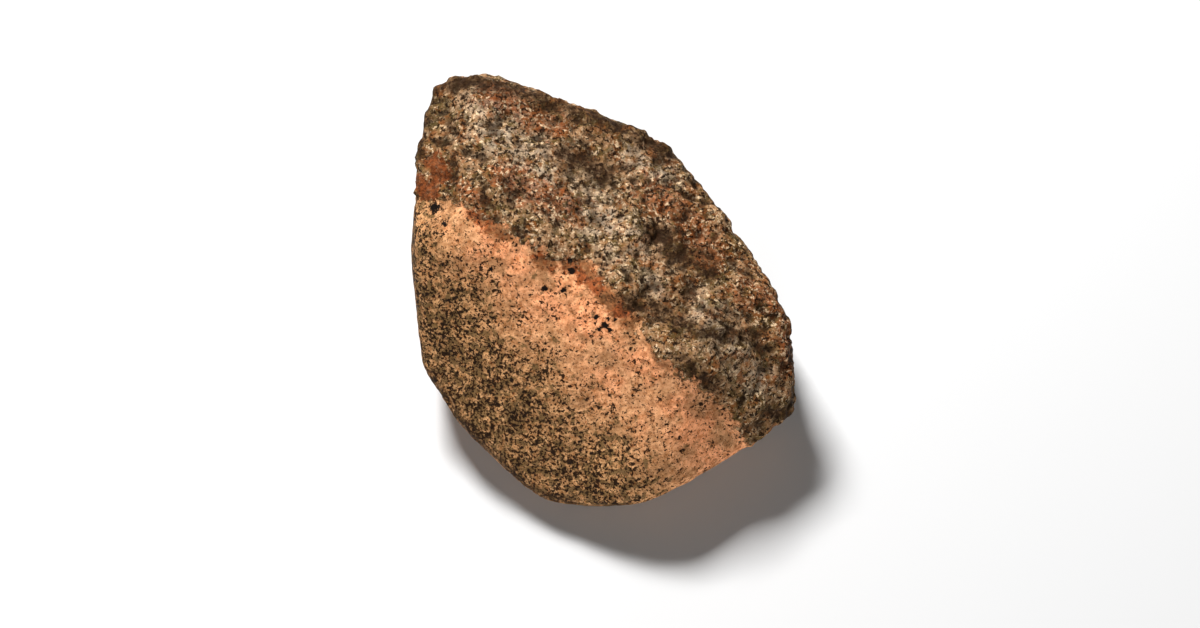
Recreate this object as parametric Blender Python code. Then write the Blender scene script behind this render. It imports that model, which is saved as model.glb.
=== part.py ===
"""A palm-sized meteorite: one stone of speckled pink rock with a dark weathered crust over its broken faces.

Blender 4.5. Metres, +Z up, the stone lying on the small flat of its underside, over the origin.

The stone is worked in its face frame, in millimetres from its heart: x across the show face, y up the face
and z straight out of it. At the end the face is tipped towards the front and the whole is set down.
"""

import math

import bmesh
import bpy
import numpy as np
from mathutils import Matrix, Vector, noise

MM = 0.001

# How the stone lies: the show face is tipped up at its far edge, and the heart is this high over the ground.
FACE_TIP = math.radians(25.0)
HEART_HEIGHT = 26.0
# Where the heart stands in plan, which brings the middle of the stone's box over the origin.
HEART_PLAN = (0.2, 1.4)

# The blank that is worn down to the stone: a cubed sphere, flatter than it is wide.
BLANK_CELLS = 28
BLANK_FLATNESS = 0.62
NEAREST_REACH = 5.0
FARTHEST_REACH = 90.0
HALVINGS = 30

# Every break is a flat: its bearing round the face from x, its tilt out of the face's plane in degrees, and
# its distance from the heart. The side flats are edge-on to the face, and give the stone's outline.
SIDE_FLATS = {
    "right": (7.0, 0.0, 43.6),
    "right_shoulder": (15.0, 0.0, 43.4),
    "upper_right": (34.0, 0.0, 33.6),
    "upper_right_corner": (52.0, 0.0, 38.6),
    "top_right": (64.0, 0.0, 38.8),
    "top_right_rise": (72.0, 0.0, 41.6),
    "top_rise": (80.0, 0.0, 47.8),
    "top": (103.0, 0.0, 58.8),
    "top_left_corner": (138.0, 0.0, 64.2),
    "upper_left": (170.0, 0.0, 50.6),
    "left": (180.0, 0.0, 46.8),
    "left_corner": (191.0, 0.0, 56.0),
    "low_left_corner": (214.0, 0.0, 49.8),
    "low_left": (226.0, 0.0, 48.8),
    "bottom_left_corner": (256.0, 0.0, 54.6),
    "bottom": (270.0, 0.0, 54.4),
    "bottom_right_corner": (288.0, 0.0, 55.8),
    "low_right": (302.0, 0.0, 51.6),
    "beak_tip": (334.0, 0.0, 60.0),
}
FRONT_FLATS = {
    "pink_face": (234.0, 72.0, 26.6),
    "speckled_face": (222.0, 56.0, 31.0),
    "crust_face": (54.0, 62.0, 22.4),
    "crust_shoulder": (140.0, 60.0, 38.9),
    "beak_ridge": (324.0, 55.0, 37.7),
    "left_cheek": (184.0, 22.0, 49.2),
    "right_cheek": (12.0, 30.0, 42.3),
    "beak_underside": (318.0, 25.0, 53.0),
}
BACK_FLATS = {
    "underside": (270.0, -65.0, 26.4),
    "front_undercut": (274.0, -22.0, 51.5),
    "left_undercut": (191.0, -36.0, 44.0),
    "low_left_undercut": (229.0, -34.0, 44.0),
    "low_right_undercut": (309.0, -38.0, 46.5),
    "right_undercut": (14.0, -40.0, 38.0),
    "upper_right_back": (48.0, -46.0, 36.0),
    "nape": (82.0, -30.0, 44.0),
    "back": (104.0, -60.0, 33.0),
}
# The flats that weathered to crust. The others are bare pink rock.
CRUSTED = ("crust_face", "crust_shoulder", "nape", "back", "upper_right_back")
EDGE_WEAR = 1.0

# Where the crust ends on the show face, from the left edge down to the low right: (x, y).
CRUST_EDGE = (
    (-47.5, 23.5),
    (-35.75, 21.5),
    (-23.5, 13.5),
    (-11.5, 7.0),
    (-3.0, 5.75),
    (3.75, -2.0),
    (9.0, -10.0),
    (19.0, -21.0),
    (29.5, -27.5),
    (35.0, -39.0),
)
CRUST_THICKNESS = 1.3
CRUST_STEP = 4.0

# Named relief of the show face: (x, y, radius, height), a hollow where the height is below zero.
FACE_RELIEF = {
    "shaded_hollow": (15.0, -5.0, 9.0, -1.8),
    "pale_knob": (27.0, -8.0, 5.5, 1.3),
    "rusty_hollow": (38.0, -8.0, 5.0, -1.2),
    "brow_hollow": (-15.0, 40.0, 7.0, -1.3),
    "brow_hump": (-29.0, 39.0, 8.0, 0.9),
    "upper_hollow": (-20.0, 27.0, 7.0, -0.9),
    "crust_hump": (8.0, 20.0, 10.0, 0.9),
    "beak_hollow": (33.0, -24.0, 5.0, -0.9),
}

# Relief all over: (wavelength, height on crust, height on pink rock), from broad waves to small lumps.
WAVES = (
    (34.0, 1.1, 1.0),
    (15.0, 0.9, 0.45),
    (7.5, 0.9, 0.22),
)


def flat_normal(bearing, tilt):
    """The outward direction of a flat, in the face frame."""
    bearing, tilt = math.radians(bearing), math.radians(tilt)
    return (
        math.cos(bearing) * math.cos(tilt),
        math.sin(bearing) * math.cos(tilt),
        math.sin(tilt),
    )


FLATS = {**SIDE_FLATS, **FRONT_FLATS, **BACK_FLATS}
NORMALS = np.array([flat_normal(bearing, tilt) for bearing, tilt, _ in FLATS.values()])
DISTANCES = np.array([distance for _, _, distance in FLATS.values()])
IS_CRUSTED = np.array([name in CRUSTED for name in FLATS], float)
UNDERSIDE = list(FLATS).index("underside")


def worn_block(points):
    """How far points stand outside the block that the flats bound, edges worn round, and each flat's share there."""
    past = points @ NORMALS.T - DISTANCES
    furthest = past.max(axis=1, keepdims=True)
    pull = np.exp((past - furthest) / EDGE_WEAR)
    total = pull.sum(axis=1, keepdims=True)
    return (furthest + EDGE_WEAR * np.log(total))[:, 0], pull / total


def reach(ways):
    """The point where each way from the heart leaves the worn block."""
    near = np.full(len(ways), NEAREST_REACH)
    far = np.full(len(ways), FARTHEST_REACH)
    for _ in range(HALVINGS):
        middle = (near + far) / 2
        outside = worn_block(ways * middle[:, None])[0] > 0
        near = np.where(outside, near, middle)
        far = np.where(outside, middle, far)
    return ways * far[:, None]


def smooth_step(low, high, values):
    share = np.clip((values - low) / (high - low), 0, 1)
    return share * share * (3 - 2 * share)


def past_crust_edge(points):
    """How far points of the show face lie on the crust's side of its edge, as seen square on."""
    edge = np.array(CRUST_EDGE)
    least = np.full(len(points), np.inf)
    side = np.ones(len(points))
    for start, end in zip(edge[:-1], edge[1:]):
        run = end - start
        share = np.clip((points[:, :2] - start) @ run / (run @ run), 0, 1)
        off = points[:, :2] - (start + share[:, None] * run)
        distance = np.hypot(off[:, 0], off[:, 1])
        nearer = distance < least
        left_of_run = np.sign(run[0] * off[:, 1] - run[1] * off[:, 0])
        side = np.where(nearer & (left_of_run != 0), left_of_run, side)
        least = np.minimum(least, distance)
    return side * least


def crust_cover(points, normals, shares):
    """0 on bare rock to 1 on crust. In front its edge is the drawn one, and elsewhere it goes by the flats."""
    by_flats = smooth_step(0.3, 0.7, shares @ IS_CRUSTED)
    by_edge = smooth_step(-CRUST_STEP / 2, CRUST_STEP / 2, past_crust_edge(points))
    in_front = smooth_step(0.15, 0.45, normals[:, 2])
    return by_flats * (1 - in_front) + by_edge * in_front


def wave_height(points, wavelength, seed):
    """Smooth noise of that wavelength, mostly from -1 to 1."""
    shift = Vector((seed * 17.3, seed * 5.1, seed * 9.7))
    return np.array([noise.noise(Vector(p) / wavelength + shift) for p in points]) * 1.6


def relief(points, normals, shares):
    """How far each point of the surface stands proud of the worn block."""
    crust = crust_cover(points, normals, shares)
    height = CRUST_THICKNESS * crust
    for seed, (wavelength, on_crust, on_rock) in enumerate(WAVES, 1):
        share = on_rock + (on_crust - on_rock) * crust
        height += share * wave_height(points, wavelength, seed)
    in_front = smooth_step(0.0, 0.4, normals[:, 2])
    for x, y, radius, rise in FACE_RELIEF.values():
        away = np.hypot(points[:, 0] - x, points[:, 1] - y) / radius
        height += rise * np.exp(-2 * away * away) * in_front
    off_the_ground = 1 - smooth_step(0.1, 0.6, shares[:, UNDERSIDE])
    return height * off_the_ground


def blank():
    """A cubed sphere of even cells as a bmesh, flattened along z."""
    mesh = bmesh.new()
    bmesh.ops.create_cube(mesh, size=2.0)
    bmesh.ops.subdivide_edges(mesh, edges=mesh.edges, cuts=BLANK_CELLS - 1, use_grid_fill=True)
    for vertex in mesh.verts:
        even = Vector([math.tan(c * math.pi / 4) for c in vertex.co]).normalized()
        vertex.co = (even.x, even.y, even.z * BLANK_FLATNESS)
    return mesh


def set_down(mesh):
    """Tips the face towards the front, and cuts the underside flat at the ground."""
    lie = Matrix.Translation((*HEART_PLAN, HEART_HEIGHT)) @ Matrix.Rotation(FACE_TIP, 4, "X")
    mesh.transform(Matrix.Scale(MM, 4) @ lie)
    everything = mesh.verts[:] + mesh.edges[:] + mesh.faces[:]
    cut = bmesh.ops.bisect_plane(
        mesh, geom=everything, plane_co=(0, 0, 0), plane_no=(0, 0, -1), clear_outer=True
    )
    rim = [item for item in cut["geom_cut"] if isinstance(item, bmesh.types.BMEdge)]
    bmesh.ops.contextual_create(mesh, geom=rim)
    bmesh.ops.recalc_face_normals(mesh, faces=mesh.faces)


def stone_material():
    material = bpy.data.materials.new("speckled_rock")
    material.use_nodes = True
    shader = material.node_tree.nodes["Principled BSDF"]
    shader.inputs["Base Color"].default_value = (0.34, 0.19, 0.1, 1.0)
    shader.inputs["Roughness"].default_value = 0.75
    shader.inputs["Metallic"].default_value = 0.0
    return material


def stone():
    """The whole stone, one closed body."""
    mesh = blank()
    ways = np.array([vertex.co.normalized() for vertex in mesh.verts])
    points = reach(ways)
    shares = worn_block(points)[1]
    normals = shares @ NORMALS
    normals /= np.linalg.norm(normals, axis=1, keepdims=True)
    points += normals * relief(points, normals, shares)[:, None]
    for vertex, point in zip(mesh.verts, points):
        vertex.co = point
    set_down(mesh)
    data = bpy.data.meshes.new("stone")
    mesh.to_mesh(data)
    mesh.free()
    data.shade_smooth()
    data.materials.append(stone_material())
    placed = bpy.data.objects.new("stone", data)
    bpy.context.scene.collection.objects.link(placed)
    return placed


def main():
    for old in list(bpy.data.objects):
        bpy.data.objects.remove(old)
    stone()


main()
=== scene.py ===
"""The looks of a palm-sized stone: speckled pink rock with a dark weathered crust over its broken faces.

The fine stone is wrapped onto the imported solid, and its grains, specks, rust and crust are worked in the
stone's face frame, in millimetres from its heart: x across the show face, y up it and z straight out of it.
"""

import math

import bmesh
import bpy
import numpy as np
from bpy.props import FloatProperty, FloatVectorProperty, PointerProperty
from mathutils import Matrix, Vector, noise
from mathutils.bvhtree import BVHTree


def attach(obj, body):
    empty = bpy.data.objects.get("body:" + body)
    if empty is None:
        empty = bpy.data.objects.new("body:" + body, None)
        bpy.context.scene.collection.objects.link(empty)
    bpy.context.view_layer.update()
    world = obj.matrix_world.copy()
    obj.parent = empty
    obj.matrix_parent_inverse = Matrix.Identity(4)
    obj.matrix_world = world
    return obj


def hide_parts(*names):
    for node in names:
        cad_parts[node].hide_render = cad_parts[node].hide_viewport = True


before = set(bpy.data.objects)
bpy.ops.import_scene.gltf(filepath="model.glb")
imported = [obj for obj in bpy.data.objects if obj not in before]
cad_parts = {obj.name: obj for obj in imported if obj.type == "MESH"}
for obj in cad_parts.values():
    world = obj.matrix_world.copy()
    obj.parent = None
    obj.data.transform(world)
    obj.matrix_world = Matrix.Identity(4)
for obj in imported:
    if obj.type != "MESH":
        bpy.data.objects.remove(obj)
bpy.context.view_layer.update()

bl_info = {
    "name": "Speckled Stone",
    "version": (1, 0, 0),
    "blender": (4, 5, 0),
    "location": "View3D > Sidebar > Stone",
    "description": "Grows the fine skin of a speckled, crusted stone, and lights it on a pale floor",
    "category": "Object",
}

MM = 0.001

# How the stone lies: how far the show face is tipped up, and where the heart stands over the ground.
FACE_TIP = math.radians(25.0)
HEART = (0.2, 1.4, 26.0)
LIE = Matrix.Translation(Vector(HEART) * MM) @ Matrix.Rotation(FACE_TIP, 4, "X") @ Matrix.Scale(MM, 4)

# The fine skin: a cubed sphere of even cells, flattened as the stone is, and cast inwards onto the solid.
SKIN_CELLS = 126
SKIN_FLATNESS = 0.62
CAST_FROM = 0.2
WELD_DISTANCE = 0.001 * MM
# Over this height the relief is whole, and under this share of it there is none, so the stone lies flat.
CLEAR_OF_GROUND = 0.8 * MM
BARE_SHARE = 0.15

# Where each side of the cubed sphere lies on the map for baking: (left, low, width, height, turned).
CHARTS = {
    "left_side": (0.0, 0.0, 0.25, 0.5, True),
    "right_side": (0.25, 0.0, 0.25, 0.5, True),
    "low_side": (0.5, 0.0, 0.25, 0.5, False),
    "high_side": (0.75, 0.0, 0.25, 0.5, False),
    "back": (0.5, 0.5, 0.5, 0.5, False),
    "face": (0.0, 0.5, 0.5, 0.5, False),
}
CHART_MARGIN = 0.012

# How the noise is moved along for each seed, in the mesh and in the material, and how much it is raised.
WAVE_SHIFT = (17.3, 5.1, 9.7)
WAVE_GAIN = 1.6
TEXTURE_SHIFT = (31.7, 11.3, 7.9)

# Where the crust ends on the show face, from the left edge down to the low right: (x, y).
CRUST_EDGE = (
    (-47.5, 23.5),
    (-35.75, 21.5),
    (-23.5, 13.5),
    (-11.5, 7.0),
    (-3.0, 5.75),
    (3.75, -2.0),
    (9.0, -10.0),
    (19.0, -21.0),
    (29.5, -27.5),
    (35.0, -39.0),
)
# Which way the crust lies on the sides and the back, and how far it comes round.
CRUST_SIDE = (0.5, 0.66, -0.56)
CRUST_SIDE_START = 0.05
CRUST_SIDE_RUN = 14.0
# How far the surface has to face out for the drawn edge to hold, and for the drawn patches to show.
EDGE_IN_FRONT = (0.05, 0.35)
PATCH_IN_FRONT = (-0.1, 0.2)
REACH_LIMIT = 20.0
# The run over which the crust's ledge rises from the rock.
LEDGE_RUN = (-0.5, 0.5)

# Fine relief, from broad to small: (wavelength, height, seed).
RAGGED_EDGE = ((6.0, 1.1, 11), (2.4, 0.7, 12))
CRUST_LUMPS = ((7.0, 0.5, 1), (3.2, 0.75, 2), (1.7, 0.55, 3))
ROCK_GRAINS = ((4.5, 0.6, 5), (2.0, 0.7, 6))
# Clefts run through the crust where this noise crosses zero, and pits lie in the rock where its own is high.
CLEFT_WAVE = (5.5, 4)
CLEFT_WIDTH = 0.35
CLEFT_DEPTH = 0.9
PIT_WAVE = (3.0, 7)
PIT_LEVELS = (0.45, 0.8)
PIT_DEPTH = 1.6
# How the height of the relief tells how deep a place lies in it, from 0 to 1.
DEPTH_MIDDLE = 0.5
DEPTH_SLOPE = 0.45

# The black-speckled part of the pink face begins along this line, and comes in over this run across it.
SPECKLED_LINE = ((-46.5, 15.0), (12.0, -49.0))
SPECKLED_FADE = (-13.0, 11.0)
SPECKLED_SWAY = (12.0, 3.0, 21)
# Where specks gather outside that part, as they do down the left edge, how many, and how many on the sides.
SPECKLED_PATCHES = (
    (((-47.0, 19.0), (-45.0, -6.0)), 5.5),
)
PATCH_SPECKS = 0.9
SIDE_SPECKS = 0.55

# Coloured patches of the show face, and patches of painted light and shade: (route of points, half width).
PATCHES = {
    "rust": (
        (((-8.5, 6.2), (-3.0, 2.6), (2.0, -3.0), (6.5, -7.5)), 1.9),
        (((-31.5, 18.2), (-24.0, 12.8)), 1.6),
        (((-16.0, 7.5), (-13.5, 5.5)), 1.5),
        (((34.0, -1.0), (46.0, -5.0), (46.5, -20.0)), 3.0),
        (((-36.0, 26.0), (-30.0, 21.0)), 1.8),
        (((12.0, 24.0), (20.0, 18.0), (26.0, 8.0)), 4.0),
        (((-24.0, 28.0), (-10.0, 20.0)), 3.5),
        (((-28.0, 48.0), (-12.0, 40.0)), 3.0),
    ),
    "orange": (
        (((-41.5, 31.0), (-40.0, 28.5)), 2.4),
        (((-45.5, 26.5), (-43.0, 24.0)), 2.3),
    ),
    # Partly the crust's grey-white colour, partly a painted highlight on its humps and knobs.
    "pale": (
        (((-28.0, 42.0), (-14.0, 28.0)), 6.5),
        (((-6.0, 22.0), (6.0, 12.0)), 6.0),
        (((25.0, -5.0), (29.0, -12.0)), 3.8),
        (((32.0, -15.0), (38.0, -22.0)), 3.6),
        (((11.0, 2.0), (12.5, 0.5)), 2.2),
        (((6.0, 34.0), (16.0, 28.0)), 3.0),
    ),
    # Painted shade: the rims where the stone's edges turn away from the light, and its hollows.
    "dark": (
        (((1.0, -2.5), (12.0, -4.5), (24.0, -11.0), (38.0, -11.0)), 2.6),
        (((40.0, -30.0), (46.0, -31.0)), 2.0),
        (((-37.0, 33.0), (-36.5, 27.0)), 1.6),
        (((-42.5, 49.5), (-32.5, 52.0), (-20.0, 49.0), (-11.0, 45.0), (3.0, 41.0), (15.0, 34.5)), 2.9),
        (((-43.5, 48.0), (-45.0, 40.0), (-47.0, 32.0)), 2.4),
        (((-47.8, 22.0), (-47.8, -8.0), (-46.5, -17.0)), 1.9),
        (((-46.5, -17.0), (-36.5, -31.5), (-28.0, -41.5), (-19.0, -50.0), (-8.0, -53.5)), 2.3),
        (((46.5, 0.0), (48.5, -26.0)), 1.8),
        (((-10.0, 33.0), (0.0, 28.0)), 3.6),
        (((12.0, 14.0), (26.0, 4.0)), 3.2),
        (((20.0, -18.0), (27.0, -24.0)), 2.2),
    ),
    "salmon": (
        (((-36.0, 17.0), (-22.0, 6.0), (-8.0, -4.0), (6.0, -18.0), (22.0, -33.0), (29.0, -40.0)), 9.0),
    ),
}
# How fast a patch fades across its half width.
PATCH_FALL = 0.7
# Single large black grains: (x, y, radius).
BLACK_GRAINS = (
    (-41.5, 20.0, 1.3), (-8.2, 7.0, 0.9), (-8.0, 4.5, 1.0), (-14.5, 0.2, 0.9), (-10.0, -0.3, 0.8),
    (0.2, -8.7, 0.9), (-2.0, -6.8, 0.7), (2.6, -7.4, 0.6), (-39.0, 16.0, 0.7), (-27.5, 5.0, 0.6),
    (-1.2, -9.6, 0.6), (1.5, -9.8, 0.7), (0.9, -7.1, 0.5),
)

# The floor and the soft lights, as seen from the stone: which way, how far off and how wide, in metres.
FLOOR_HALF = 3.0
FLOOR_ROUGHNESS = 0.9
KEY_LIGHT = {"way": (-0.26, 0.52, 0.81), "reach": 1.2, "size": 0.3}
FILL_LIGHT = {"way": (0.0, -0.97, 0.24), "reach": 1.3, "size": 0.4}
WHITE = (1.0, 1.0, 1.0, 1.0)

# The camera looks straight at the show face; its aim is a little under the heart.
CAMERA_REACH = 900.0
CAMERA_AIM = (-1.0, -6.0)
FRAME_WIDTH = 300.0
SENSOR_WIDTH = 36.0


def rgb(red, green, blue):
    """A colour as a screen shows it, from 0 to 255, as the linear light that Blender works in."""
    shares = [channel / 255 for channel in (red, green, blue)]
    return tuple(s / 12.92 if s <= 0.04045 else ((s + 0.055) / 1.055) ** 2.4 for s in shares)


# Colours of the bare rock, beside those that can be set.
SPECKLED_GROUND = rgb(202, 154, 104)
SMUDGE = rgb(150, 108, 70)
LONE_GRAIN = rgb(18, 10, 6)
# Layers of specks on the bare rock, olive clusters, black blots, fine specks and dust: the tint, how much
# thicker they lie where it is speckled, how much they keep to flocks, and the step and noise they come from.
SPECK_LAYERS = (
    dict(tint=rgb(92, 72, 42), gathered=0.15, low=0.6, high=0.68, over=0.8, size=2.2, seed=5),
    dict(
        tint=rgb(38, 26, 12), gathered=0.08, low=0.665, high=0.72, over=0.92, size=1.6, seed=10,
        detail=3.0, roughness=0.6,
    ),
    dict(
        tint=rgb(26, 12, 3), gathered=0.085, flocked=0.3, low=0.738, high=0.772, over=0.97, size=0.8, seed=6,
        detail=3.0,
    ),
    dict(
        tint=rgb(40, 20, 6), gathered=0.045, low=0.632, high=0.672, over=0.9, size=0.45, seed=9,
        detail=2.0, roughness=0.5,
    ),
)
# Tints that multiply the bare rock's colour, with how strongly: (place in the noise, tint).
MOTTLE_TINTS = (
    (0.32, (0.42, 0.28, 0.14)),
    (0.46, (0.78, 0.73, 0.68)),
    (0.56, (1.0, 1.0, 1.0)),
    (0.7, (1.35, 1.42, 1.5)),
)
MOTTLE_STRENGTH = 0.85
CRYSTAL_TINTS = (
    (0.0, (0.68, 0.62, 0.56)),
    (0.35, (1.0, 1.0, 1.0)),
    (1.0, (1.1, 1.06, 1.0)),
)
CRYSTAL_STRENGTH = 0.6

# The crust's browns, on both sides of the middling one that can be set: (place in the noise, colour).
DEEP_BROWNS = ((0.32, rgb(54, 40, 20)), (0.43, rgb(104, 80, 44)))
MIDDLE_BROWN = 0.5
WARM_BROWNS = ((0.57, rgb(168, 130, 94)), (0.66, rgb(130, 84, 46)))
# Colours of the crust's patches and grains, and of its painted light and painted shade.
# Grey-white crust, partly a painted highlight on the crust's humps and knobs.
PALE_CRUST_AND_HIGHLIGHT = rgb(188, 166, 140)
RUSTY_CRUST = rgb(132, 76, 34)
OLIVE_CRUST = rgb(88, 74, 40)
LIGHT_GRAIN = rgb(230, 198, 158)
BLACK_PATCH = rgb(46, 30, 12)
SHADED_CRUST = rgb(58, 38, 18)
# Painted shade on the crust's rims and hollows.
BLACK_GRAIN = rgb(30, 14, 2)
# Painted shade in the low places of the crust's relief, its clefts and hollows.
HOLLOW_SHADE = rgb(32, 18, 6)

# Colours of the stains, and of the painted shade on the rims and in the hollows.
DEEP_RUST = rgb(96, 44, 16)
DEEP_ORANGE = rgb(74, 34, 12)
BRIGHT_ORANGE = rgb(128, 66, 30)
# Painted shade for the rims turned away from the light and for the hollows.
PAINTED_RIM_SHADE = rgb(46, 28, 13)


class StoneLooks(bpy.types.PropertyGroup):
    rock_colour: FloatVectorProperty(
        name="Rock", description="The pale pink rock", subtype="COLOR", default=rgb(208, 152, 108),
    )
    salmon_colour: FloatVectorProperty(
        name="Salmon band", description="The bare rock beside the crust", subtype="COLOR",
        default=rgb(240, 164, 116),
    )
    crust_colour: FloatVectorProperty(
        name="Crust", description="The middling brown of the crust", subtype="COLOR",
        default=rgb(144, 106, 68),
    )
    rust_colour: FloatVectorProperty(
        name="Rust", description="The rusty veins beside the crust", subtype="COLOR",
        default=rgb(152, 76, 34),
    )
    crust_relief: FloatProperty(
        name="Crust relief", description="How far the crust's lumps stand up", subtype="DISTANCE",
        unit="LENGTH", default=0.75 * MM, min=0.0, max=1.5 * MM,
    )
    rock_relief: FloatProperty(
        name="Rock relief", description="How far the bare rock's grains stand up", subtype="DISTANCE",
        unit="LENGTH", default=0.14 * MM, min=0.0, max=0.6 * MM,
    )
    crust_ledge: FloatProperty(
        name="Crust ledge", description="How far the crust's broken edge stands over the rock",
        subtype="DISTANCE", unit="LENGTH", default=0.45 * MM, min=0.0, max=1.2 * MM,
    )


class StageLooks(bpy.types.PropertyGroup):
    floor_colour: FloatVectorProperty(
        name="Floor", description="The pale floor", subtype="COLOR", default=(0.63, 0.63, 0.63),
    )
    key_power: FloatProperty(
        name="Key light", description="Power of the soft light high up behind, to the left", unit="POWER",
        default=27.0, min=0.0,
    )
    fill_power: FloatProperty(
        name="Fill light", description="Power of the soft light low in front", unit="POWER",
        default=9.5, min=0.0,
    )
    sky_light: FloatProperty(
        name="Sky", description="Strength of the light from all round", default=0.04, min=0.0,
    )


def smooth_step(low, high, values):
    share = np.clip((values - low) / (high - low), 0, 1)
    return share * share * (3 - 2 * share)


def wave(points, wavelength, seed):
    """Smooth noise of that wavelength at each point, mostly from -1 to 1."""
    shift = Vector([seed * step for step in WAVE_SHIFT])
    return np.array([noise.noise(Vector(p) / wavelength + shift) for p in points]) * WAVE_GAIN


def waves(points, runs):
    """The sum of several runs of such noise: (wavelength, height, seed) for each."""
    return sum(height * wave(points, wavelength, seed) for wavelength, height, seed in runs)


def off_route(points, route):
    """How far each point lies from a route, as seen square on, and on which side: +1 is left of its run."""
    least = np.full(len(points), np.inf)
    side = np.ones(len(points))
    for start, end in zip(route[:-1], route[1:]):
        start, run = np.array(start), np.array(end) - np.array(start)
        share = np.clip((points[:, :2] - start) @ run / (run @ run), 0, 1)
        off = points[:, :2] - (start + share[:, None] * run)
        distance = np.hypot(off[:, 0], off[:, 1])
        turn = np.sign(run[0] * off[:, 1] - run[1] * off[:, 0])
        side = np.where((distance < least) & (turn != 0), turn, side)
        least = np.minimum(least, distance)
    return least, side


def patch_share(points, patches):
    """How strongly each point lies in one of the patches, from 0 to 1."""
    share = np.zeros(len(points))
    for route, half_width in patches:
        away = off_route(points, route)[0] / half_width
        share = np.maximum(share, np.exp(-PATCH_FALL * away * away))
    return share


def grain_share(points):
    """How strongly each point lies in one of the single black grains, from 0 to 1."""
    share = np.zeros(len(points))
    for x, y, radius in BLACK_GRAINS:
        away = np.hypot(points[:, 0] - x, points[:, 1] - y) / radius
        share = np.maximum(share, np.exp(-PATCH_FALL * away * away))
    return share


def speckled_share(points):
    """How thickly specks lie at each point of the face, from 0 to 1."""
    start, end = (np.array(spot) for spot in SPECKLED_LINE)
    run = (end - start) / np.linalg.norm(end - start)
    past_line = (points[:, 0] - start[0]) * run[1] - (points[:, 1] - start[1]) * run[0]
    past_line += waves(points, [SPECKLED_SWAY])
    gathered = PATCH_SPECKS * patch_share(points, SPECKLED_PATCHES)
    return np.maximum(smooth_step(*SPECKLED_FADE, past_line), gathered)


def colour_shares(points, normals):
    """How far each colour, painted light and painted shade of the face goes at each point, by name. Only
    specks go on round the sides.
    """
    in_front = smooth_step(*PATCH_IN_FRONT, normals[:, 2])
    shares = {name: patch_share(points, patches) * in_front for name, patches in PATCHES.items()}
    shares["speckled"] = speckled_share(points) * in_front + SIDE_SPECKS * (1 - in_front)
    shares["black_grain"] = grain_share(points) * in_front
    return shares


def cube_shell(cells):
    """A cube's lattice points and square faces, and the side and the lattice place of each face's corners."""
    steps = np.arange(cells + 1)
    across, up = (grid.ravel() for grid in np.meshgrid(steps, steps, indexing="ij"))
    corner = np.arange((cells + 1) ** 2).reshape(cells + 1, cells + 1)
    ring = (corner[:-1, :-1], corner[1:, :-1], corner[1:, 1:], corner[:-1, 1:])
    square = np.stack(ring, -1).reshape(-1, 4)
    points, squares, sides = [], [], []
    for axis in range(3):
        for end in (0, cells):
            lattice = np.empty((len(across), 3), int)
            lattice[:, axis] = end
            lattice[:, (axis + 1) % 3] = across
            lattice[:, (axis + 2) % 3] = up
            outward = square if end else square[:, ::-1]
            squares.append(outward + len(points) * len(across))
            points.append(lattice)
            sides.append(np.full(len(square), len(sides)))
    places = np.tile(np.stack([across, up], -1), (len(sides), 1)) / cells
    unique, weld = np.unique(np.concatenate(points), axis=0, return_inverse=True)
    faces = np.concatenate(squares)
    return unique, weld.ravel()[faces], np.concatenate(sides), places[faces]


def even_ways(lattice):
    """The way from the heart to each lattice point, spaced evenly and flattened as the stone is."""
    ways = np.tan((lattice / SKIN_CELLS * 2 - 1) * math.pi / 4)
    ways /= np.linalg.norm(ways, axis=1, keepdims=True)
    ways[:, 2] *= SKIN_FLATNESS
    return ways / np.linalg.norm(ways, axis=1, keepdims=True)


def smooth_solid():
    """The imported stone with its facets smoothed, as a tree that rays can be cast at."""
    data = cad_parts["stone"].data.copy()
    mesh = bmesh.new()
    mesh.from_mesh(data)
    bmesh.ops.remove_doubles(mesh, verts=mesh.verts, dist=WELD_DISTANCE)
    mesh.to_mesh(data)
    mesh.free()
    guide = bpy.data.objects.new("guide", data)
    bpy.context.scene.collection.objects.link(guide)
    guide.modifiers.new("Smooth", "SUBSURF").levels = 1
    tree = BVHTree.FromObject(guide, bpy.context.evaluated_depsgraph_get())
    bpy.data.objects.remove(guide)
    return tree


def cast_skin(tree, ways):
    """Where the rays from outside towards the heart first meet the solid, in the face frame."""
    back = LIE.inverted()
    heart = Vector(HEART) * MM
    turned = Matrix.Rotation(FACE_TIP, 3, "X")
    points = np.empty((len(ways), 3))
    for index, way in enumerate(ways):
        out = turned @ Vector(way)
        hit = tree.ray_cast(heart + out * CAST_FROM, -out)[0]
        if hit is None:
            raise RuntimeError("A ray missed the stone")
        points[index] = back @ hit
    return points


def set_down(points):
    """Points of the face frame as they lie on the ground, in metres."""
    lie = np.array(LIE)
    return points @ lie[:3, :3].T + lie[:3, 3]


def crust_reach(points, normals):
    """How far each point lies past the crust's edge, in mm, negative on bare rock."""
    distance, side = off_route(points, CRUST_EDGE)
    by_edge = distance * side
    by_side = (normals @ np.array(CRUST_SIDE) - CRUST_SIDE_START) * CRUST_SIDE_RUN
    in_front = smooth_step(*EDGE_IN_FRONT, normals[:, 2])
    reach = by_edge * in_front + by_side * (1 - in_front) + waves(points, RAGGED_EDGE)
    return np.clip(reach, -REACH_LIMIT, REACH_LIMIT)


def skin_relief(points, reach, looks):
    """The height of the fine relief at each point in mm, and how deep it lies in the relief from 0 to 1."""
    crust = smooth_step(*LEDGE_RUN, reach)
    clefts = CLEFT_DEPTH * (CLEFT_WIDTH - np.abs(wave(points, *CLEFT_WAVE)))
    crust_height = waves(points, CRUST_LUMPS) - np.maximum(clefts, 0)
    pits = PIT_DEPTH * smooth_step(*PIT_LEVELS, wave(points, *PIT_WAVE))
    rock_height = waves(points, ROCK_GRAINS) - pits
    height = crust * (crust_height * looks.crust_relief + looks.crust_ledge)
    height += (1 - crust) * rock_height * looks.rock_relief
    here = np.where(crust > 0.5, crust_height, rock_height)
    depth = np.clip(DEPTH_MIDDLE - DEPTH_SLOPE * here, 0, 1)
    return height / MM, depth


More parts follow.
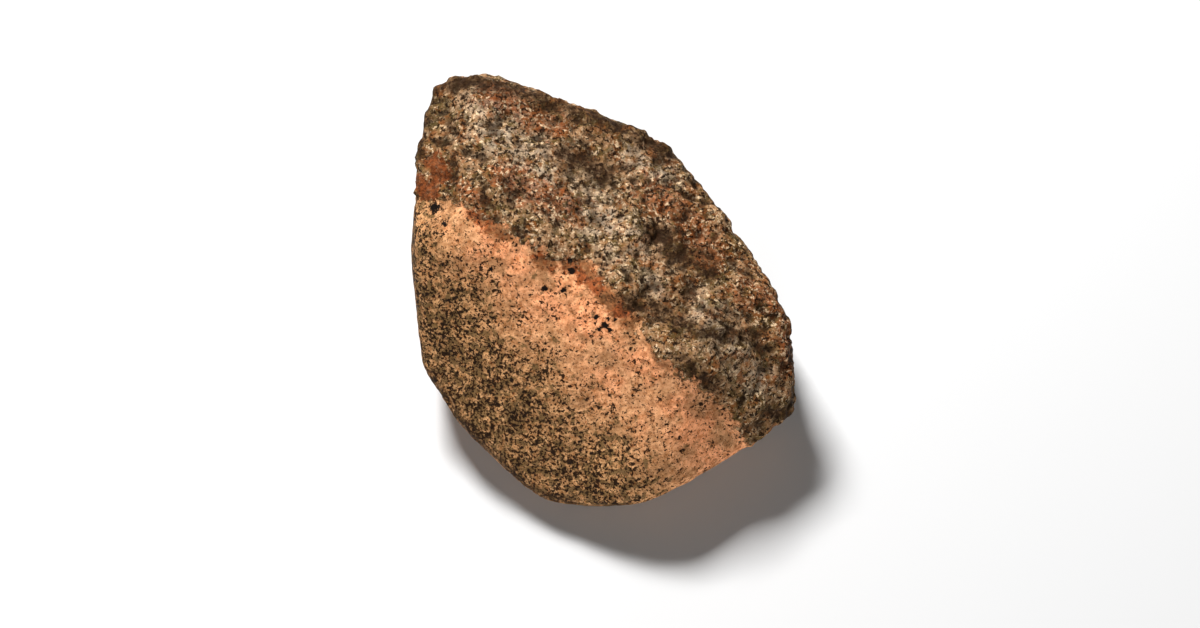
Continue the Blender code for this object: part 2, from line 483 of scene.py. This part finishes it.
def lay_out_map(data, sides, places):
    """A map for baking: the show face and the back above, and the four narrow sides below."""
    spots = np.empty_like(places)
    for side, (left, low, width, height, turned) in enumerate(CHARTS.values()):
        chosen = sides == side
        local = places[chosen][..., ::-1] if turned else places[chosen]
        local = CHART_MARGIN + (1 - 2 * CHART_MARGIN) * local
        spots[chosen, :, 0] = left + width * local[..., 0]
        spots[chosen, :, 1] = low + height * local[..., 1]
    layer = data.uv_layers.new(name="OFBake")
    layer.data.foreach_set("uv", spots.reshape(-1))


def vertex_normals(data):
    normals = np.empty(len(data.vertices) * 3)
    data.vertex_normals.foreach_get("vector", normals)
    return normals.reshape(-1, 3)


def keep_shares(data, shares):
    """Writes each named list of numbers, one a point, where the material can read it."""
    for name, values in shares.items():
        layer = data.attributes.new(name, "FLOAT", "POINT")
        layer.data.foreach_set("value", values.astype(np.float32))


def fine_stone(looks):
    """The fine skin of the whole stone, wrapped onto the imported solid."""
    lattice, faces, sides, places = cube_shell(SKIN_CELLS)
    points = cast_skin(smooth_solid(), even_ways(lattice))
    data = bpy.data.meshes.new("fine_stone")
    data.from_pydata(points.tolist(), [], faces.tolist())
    lay_out_map(data, sides, places)

    normals = vertex_normals(data)
    reach = crust_reach(points, normals)
    height, depth = skin_relief(points, reach, looks)
    off_ground = smooth_step(BARE_SHARE * CLEAR_OF_GROUND, CLEAR_OF_GROUND, set_down(points)[:, 2])
    points = points + normals * (height * off_ground)[:, None]
    placed = set_down(points)
    placed[:, 2] = np.maximum(placed[:, 2], 0)
    data.vertices.foreach_set("co", placed.reshape(-1))
    data.update()
    data.shade_smooth()
    keep_shares(data, {"crust_reach": reach, "depth": depth, **colour_shares(points, normals)})
    return data


class Recipe:
    """One material, built up node by node. Sizes in it are millimetres of the stone."""

    def __init__(self, name):
        self.material = bpy.data.materials.new(name)
        self.material.use_nodes = True
        self.tree = self.material.node_tree
        self.shader = self.tree.nodes["Principled BSDF"]
        where = self.tree.nodes.new("ShaderNodeTexCoord")
        in_mm = {0: where.outputs["Object"], 3: 1 / MM}
        self.place = self.add("ShaderNodeVectorMath", in_mm, operation="SCALE")

    def put(self, socket, value):
        if isinstance(value, bpy.types.NodeSocket):
            self.tree.links.new(value, socket)
        elif socket.type == "RGBA":
            socket.default_value = (*value, 1.0)
        else:
            socket.default_value = value

    def add(self, kind, inputs, output=0, **settings):
        node = self.tree.nodes.new(kind)
        for setting, value in settings.items():
            setattr(node, setting, value)
        for key, value in inputs.items():
            self.put(node.inputs[key], value)
        return node.outputs[output]

    def share(self, name):
        """The numbers that the mesh keeps under that name."""
        return self.add("ShaderNodeAttribute", {}, "Fac", attribute_name=name)

    def shifted(self, seed):
        shift = [seed * step for step in TEXTURE_SHIFT]
        return self.add("ShaderNodeVectorMath", {0: self.place, 1: shift})

    def cloud(self, size, seed, detail=4.0, roughness=0.65):
        """Soft noise about 0.5, its blots about that size."""
        inputs = {"Vector": self.shifted(seed), "Scale": 1 / size, "Detail": detail, "Roughness": roughness}
        return self.add("ShaderNodeTexNoise", inputs, "Fac")

    def grains(self, size, seed):
        """A different number from 0 to 1 in each grain of that size."""
        inputs = {"Vector": self.shifted(seed), "Scale": 1 / size}
        colour = self.add("ShaderNodeTexVoronoi", inputs, "Color")
        return self.add("ShaderNodeSeparateColor", {0: colour}, "Red")

    def sum(self, first, second):
        return self.add("ShaderNodeMath", {0: first, 1: second}, operation="ADD")

    def times(self, first, second):
        return self.add("ShaderNodeMath", {0: first, 1: second}, operation="MULTIPLY")

    def step(self, value, low, high, under=0.0, over=1.0):
        """One number under the low value, another over the high one, and smooth between them."""
        inputs = {"Value": value, "From Min": low, "From Max": high, "To Min": under, "To Max": over}
        return self.add("ShaderNodeMapRange", inputs, "Result", interpolation_type="SMOOTHSTEP")

    def blots(self, low, high, under=0.0, over=1.0, more=None, **texture):
        """A step of soft noise, with more added to the noise where it is given."""
        value = self.cloud(**texture)
        if more is not None:
            value = self.sum(value, more)
        return self.step(value, low, high, under, over)

    def sway(self, reach, **texture):
        """Soft noise about 0, up to half of that reach either way."""
        return self.times(self.sum(self.cloud(**texture), -0.5), reach)

    def mix(self, share, first, second, blend="MIX"):
        node = self.tree.nodes.new("ShaderNodeMix")
        node.data_type = "RGBA"
        node.blend_type = blend
        colours = [socket for socket in node.inputs if socket.type == "RGBA"]
        self.put(node.inputs[0], share)
        self.put(colours[0], first)
        self.put(colours[1], second)
        return next(socket for socket in node.outputs if socket.type == "RGBA")

    def shades(self, value, stops):
        """A run of colours: (place, colour) for each stop."""
        node = self.tree.nodes.new("ShaderNodeValToRGB")
        self.put(node.inputs["Fac"], value)
        elements = node.color_ramp.elements
        elements.remove(elements[1])
        for index, (spot, colour) in enumerate(stops):
            element = elements[0] if index == 0 else elements.new(spot)
            element.position = spot
            element.color = (*colour, 1.0)
        return node.outputs["Color"]


def rusted(recipe, colour, looks, strength):
    """The colour with the rust of the veins over it, broken up by the grains."""
    broken = recipe.sum(recipe.share("rust"), recipe.sway(2.6, size=1.6, seed=22))
    rust = recipe.step(broken, low=0.28, high=0.62, over=strength)
    bright = recipe.blots(low=0.42, high=0.58, size=1.2, seed=26)
    return recipe.mix(rust, colour, recipe.mix(bright, DEEP_RUST, looks.rust_colour))


def orange_stained(recipe, colour):
    """The colour with the bright orange stain at the left edge over it."""
    broken = recipe.sum(recipe.share("orange"), recipe.sway(2.4, size=1.8, seed=27))
    stain = recipe.step(broken, low=0.3, high=0.6, over=0.88)
    bright = recipe.blots(low=0.4, high=0.6, size=1.1, seed=28, roughness=0.7)
    return recipe.mix(stain, colour, recipe.mix(bright, DEEP_ORANGE, BRIGHT_ORANGE))


def with_painted_shade(recipe, colour):
    """The colour with painted shade over its rims and hollows, the lighter grains showing through."""
    broken = recipe.sum(recipe.share("dark"), recipe.sway(2.4, size=1.8, seed=23))
    rim_shade = recipe.step(broken, low=0.45, high=1.1, over=0.9)
    grained = recipe.blots(low=0.42, high=0.58, under=1.0, over=0.35, size=1.0, seed=29, roughness=0.7)
    return recipe.mix(recipe.times(rim_shade, grained), colour, PAINTED_RIM_SHADE)


def rock_ground(recipe, looks, speckled):
    """The pink rock without its specks: the salmon band, rust, smudges and mottled crystals."""
    band = recipe.blots(low=0.35, high=0.6, size=8.0, seed=1, detail=2.0, roughness=0.5)
    salmon = recipe.times(recipe.share("salmon"), band)
    colour = recipe.mix(salmon, looks.rock_colour, looks.salmon_colour)
    colour = recipe.mix(recipe.times(speckled, 0.8), colour, SPECKLED_GROUND)
    colour = rusted(recipe, colour, looks, strength=0.92)
    smudges = recipe.blots(low=0.46, high=0.62, over=0.6, size=4.5, seed=4, roughness=0.6)
    colour = recipe.mix(smudges, colour, SMUDGE)
    mottle = recipe.shades(recipe.cloud(size=1.3, seed=2, roughness=0.7), MOTTLE_TINTS)
    colour = recipe.mix(MOTTLE_STRENGTH, colour, mottle, "MULTIPLY")
    crystals = recipe.shades(recipe.grains(size=1.1, seed=3), CRYSTAL_TINTS)
    return recipe.mix(CRYSTAL_STRENGTH, colour, crystals, "MULTIPLY")


def speck_layer(recipe, colour, speckled, tint, gathered, flocked=0.0, **step_of_noise):
    """The colour with one layer of specks over it."""
    more = recipe.times(speckled, gathered)
    if flocked:
        flocks = recipe.cloud(size=4.0, seed=7, detail=2.0, roughness=0.5)
        more = recipe.sum(recipe.times(flocks, flocked), more)
    specks = recipe.blots(more=more, **step_of_noise)
    return recipe.mix(specks, colour, tint)


def bare_rock(recipe, looks):
    """The colour of the pink rock with all its specks and the single black grains."""
    speckled = recipe.share("speckled")
    colour = rock_ground(recipe, looks, speckled)
    for layer in SPECK_LAYERS:
        colour = speck_layer(recipe, colour, speckled, **layer)
    frayed = recipe.times(recipe.cloud(size=0.8, seed=8, roughness=0.7), 1.6)
    lone = recipe.step(recipe.sum(recipe.share("black_grain"), frayed), low=1.32, high=1.42)
    return recipe.mix(lone, colour, LONE_GRAIN)


def crust_ground(recipe, looks):
    """The crust without its grains: its browns, with pale patches that are partly painted highlight, and
    rusty and olive patches.
    """
    browns = (*DEEP_BROWNS, (MIDDLE_BROWN, looks.crust_colour), *WARM_BROWNS)
    colour = recipe.shades(recipe.cloud(size=6.0, seed=11, detail=5.0, roughness=0.7), browns)
    # Grey-white crust, partly a painted highlight on the humps.
    broken = recipe.blots(low=0.4, high=0.6, over=0.85, size=2.4, seed=12)
    colour = recipe.mix(recipe.times(recipe.share("pale"), broken), colour, PALE_CRUST_AND_HIGHLIGHT)
    rusty = recipe.blots(low=0.52, high=0.6, over=0.75, size=4.4, seed=13, detail=5.0, roughness=0.7)
    colour = recipe.mix(rusty, colour, RUSTY_CRUST)
    colour = rusted(recipe, colour, looks, strength=0.6)
    olive = recipe.blots(low=0.55, high=0.63, over=0.7, size=3.6, seed=18, detail=5.0, roughness=0.7)
    return recipe.mix(olive, colour, OLIVE_CRUST)


def weathered_crust(recipe, looks):
    """The crust's colour: olive-black, grey-white and rusty patches on brown, coarse-grained, with painted
    light and shade.
    """
    # The painted shade of the rims and hollows thins the light grains and darkens the crust.
    shade = recipe.share("dark")
    light = recipe.blots(low=0.53, high=0.6, over=0.95, size=1.0, seed=15, roughness=0.7)
    flocks = recipe.blots(low=0.4, high=0.56, under=0.25, size=4.0, seed=19, roughness=0.6)
    lit = recipe.step(shade, low=0.3, high=1.0, under=1.0, over=0.4)
    light = recipe.times(recipe.times(light, flocks), lit)
    colour = recipe.mix(light, crust_ground(recipe, looks), LIGHT_GRAIN)
    patches = recipe.blots(
        low=0.35, high=0.44, under=0.85, over=0.0, size=2.8, seed=17, detail=5.0, roughness=0.7
    )
    colour = recipe.mix(patches, colour, BLACK_PATCH)
    broken = recipe.blots(low=0.34, high=0.6, under=0.9, over=0.2, size=2.5, seed=14, roughness=0.6)
    colour = recipe.mix(recipe.times(shade, broken), colour, SHADED_CRUST)
    black = recipe.blots(low=0.42, high=0.49, under=0.96, over=0.0, size=1.0, seed=16, roughness=0.7)
    colour = recipe.mix(black, colour, BLACK_GRAIN)
    # Painted shade in the low places of the relief.
    hollow_shade = recipe.step(recipe.share("depth"), low=0.5, high=0.95, over=0.8)
    return recipe.mix(hollow_shade, colour, HOLLOW_SHADE)


def stone_material(looks):
    """Bare rock and crust on either side of the crust's frayed edge, and the stains and the painted shade of
    rims and hollows over both.
    """
    recipe = Recipe("speckled_rock")
    ragged = recipe.sway(9.0, size=1.4, seed=21, roughness=0.7)
    wide = recipe.sway(8.0, size=4.0, seed=20, detail=3.0, roughness=0.5)
    edge = recipe.sum(recipe.sum(recipe.share("crust_reach"), ragged), wide)
    crust = recipe.step(edge, low=-0.4, high=0.4)
    colour = recipe.mix(crust, bare_rock(recipe, looks), weathered_crust(recipe, looks))
    colour = with_painted_shade(recipe, orange_stained(recipe, colour))
    recipe.put(recipe.shader.inputs["Base Color"], colour)
    dull = recipe.blots(
        low=0.35, high=0.65, under=0.62, over=0.88, size=1.2, seed=24, detail=2.0, roughness=0.5
    )
    recipe.put(recipe.shader.inputs["Roughness"], dull)
    recipe.shader.inputs["Specular IOR Level"].default_value = 0.08
    bumpiness = recipe.step(crust, low=0.0, high=1.0, under=0.25)
    height = recipe.times(recipe.cloud(size=0.9, seed=25), bumpiness)
    bump = recipe.add("ShaderNodeBump", {"Height": height, "Strength": 1.0, "Distance": 0.7 * MM})
    recipe.put(recipe.shader.inputs["Normal"], bump)
    return recipe.material


def lay_floor(looks):
    corners = [(x * FLOOR_HALF, y * FLOOR_HALF, 0) for x, y in ((-1, -1), (1, -1), (1, 1), (-1, 1))]
    data = bpy.data.meshes.new("floor")
    data.from_pydata(corners, [], [(0, 1, 2, 3)])
    paint = bpy.data.materials.new("pale_floor")
    paint.use_nodes = True
    shader = paint.node_tree.nodes["Principled BSDF"]
    shader.inputs["Base Color"].default_value = (*looks.floor_colour, 1.0)
    shader.inputs["Roughness"].default_value = FLOOR_ROUGHNESS
    data.materials.append(paint)
    floor = bpy.data.objects.new("floor", data)
    bpy.context.scene.collection.objects.link(floor)


def light_sky(looks):
    world = bpy.data.worlds.new("plain_sky")
    world.use_nodes = True
    background = world.node_tree.nodes["Background"]
    background.inputs["Color"].default_value = WHITE
    background.inputs["Strength"].default_value = looks.sky_light
    bpy.context.scene.world = world


def area_light(name, power, way, reach, size):
    """A square soft light, that way from the stone and facing it."""
    data = bpy.data.lights.new(name, "AREA")
    data.size = size
    data.energy = power
    light = bpy.data.objects.new(name, data)
    out = Vector(way).normalized()
    light.location = out * reach
    light.rotation_euler = out.to_track_quat("Z", "Y").to_euler()
    bpy.context.scene.collection.objects.link(light)


def place_camera():
    lens = bpy.data.cameras.new("camera")
    lens.sensor_width = SENSOR_WIDTH
    lens.lens = SENSOR_WIDTH * CAMERA_REACH / FRAME_WIDTH
    camera = bpy.data.objects.new("camera", lens)
    spot = LIE @ Vector((*CAMERA_AIM, CAMERA_REACH))
    camera.matrix_world = Matrix.Translation(spot) @ Matrix.Rotation(FACE_TIP, 4, "X")
    bpy.context.scene.collection.objects.link(camera)
    bpy.context.scene.camera = camera


class STONE_OT_grow_stone(bpy.types.Operator):
    """Wraps the fine skin round the stone and colours it"""

    bl_idname = "stone.grow_stone"
    bl_label = "Stone"

    def execute(self, context):
        looks = context.scene.stone_looks
        data = fine_stone(looks)
        data.materials.append(stone_material(looks))
        piece = bpy.data.objects.new("fine_stone", data)
        context.scene.collection.objects.link(piece)
        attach(piece, "root")
        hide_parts("stone")
        return {"FINISHED"}


class STONE_OT_set_stage(bpy.types.Operator):
    """Lays the pale floor, and sets the soft lights and the camera over the show face"""

    bl_idname = "stone.set_stage"
    bl_label = "Stage"

    def execute(self, context):
        looks = context.scene.stage_looks
        context.scene.view_settings.view_transform = "Standard"
        lay_floor(looks)
        light_sky(looks)
        area_light("key_light", looks.key_power, **KEY_LIGHT)
        area_light("fill_light", looks.fill_power, **FILL_LIGHT)
        place_camera()
        return {"FINISHED"}


class STONE_PT_panel(bpy.types.Panel):
    """The stone and the stage, with their sizes and colours"""

    bl_label = "Speckled Stone"
    bl_idname = "STONE_PT_panel"
    bl_space_type = "VIEW_3D"
    bl_region_type = "UI"
    bl_category = "Stone"

    def draw(self, context):
        scene = context.scene
        for looks, operator in (
            (scene.stone_looks, STONE_OT_grow_stone),
            (scene.stage_looks, STONE_OT_set_stage),
        ):
            box = self.layout.box()
            for name in looks.__annotations__:
                box.prop(looks, name)
            box.operator(operator.bl_idname)


CLASSES = (StoneLooks, StageLooks, STONE_OT_grow_stone, STONE_OT_set_stage, STONE_PT_panel)


def register():
    for each in CLASSES:
        bpy.utils.register_class(each)
    bpy.types.Scene.stone_looks = PointerProperty(type=StoneLooks)
    bpy.types.Scene.stage_looks = PointerProperty(type=StageLooks)


def unregister():
    del bpy.types.Scene.stage_looks
    del bpy.types.Scene.stone_looks
    for each in reversed(CLASSES):
        bpy.utils.unregister_class(each)


def main():
    register()
    bpy.ops.stone.grow_stone()
    bpy.ops.stone.set_stage()


if __name__ == "__main__":
    main()
